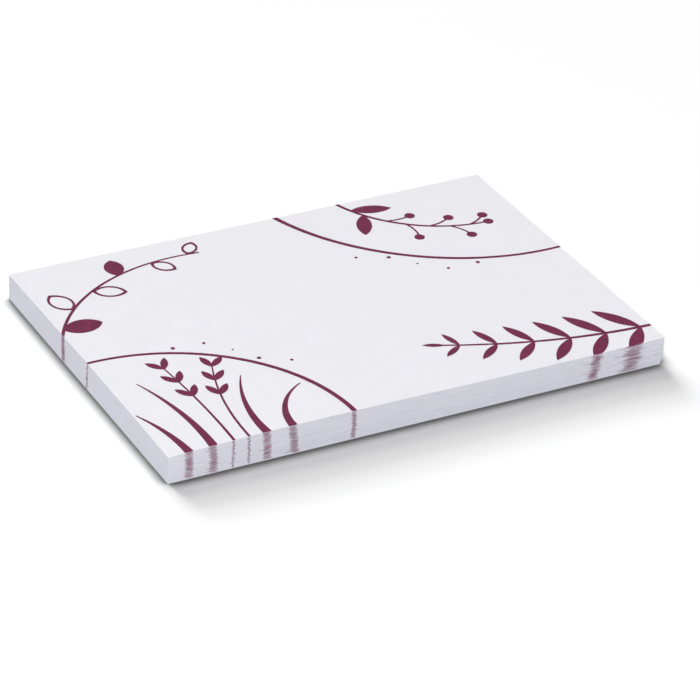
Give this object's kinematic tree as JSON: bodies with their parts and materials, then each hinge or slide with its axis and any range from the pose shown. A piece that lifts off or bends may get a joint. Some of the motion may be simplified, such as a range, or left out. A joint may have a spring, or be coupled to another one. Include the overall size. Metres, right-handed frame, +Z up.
{
  "type": "sticky note pad",
  "caption": "Pad of printed sticky notes lying flat, with a loosely swollen top, trimmed sides that show the sheet edges, and a release sheet underneath.",
  "frame": {"origin": "middle of the pad's underside", "axes": "+X along the long edges, to the right seen from the front; +Y across the pad towards the edge with the adhesive; +Z up"},
  "size_m": [0.1052, 0.0742, 0.0062],
  "materials": {
    "note_paper": "matte uncoated white paper with a faint cool tint",
    "release_paper": "smooth release-coated paper",
    "print_ink": "burgundy offset ink soaked into the paper, matte",
    "edge_ink": "pale mauve ink seen on the cut edges of the sheets, matte"
  },
  "bodies": {
    "root": {"note_sheets": "note_paper", "backing_sheet": "release_paper", "fern_print": "print_ink", "round_leaf_print": "print_ink", "grass_print": "print_ink", "berry_print": "print_ink", "arc_print": "print_ink", "edge_marks": "edge_ink"}
  },
  "joints": []
}
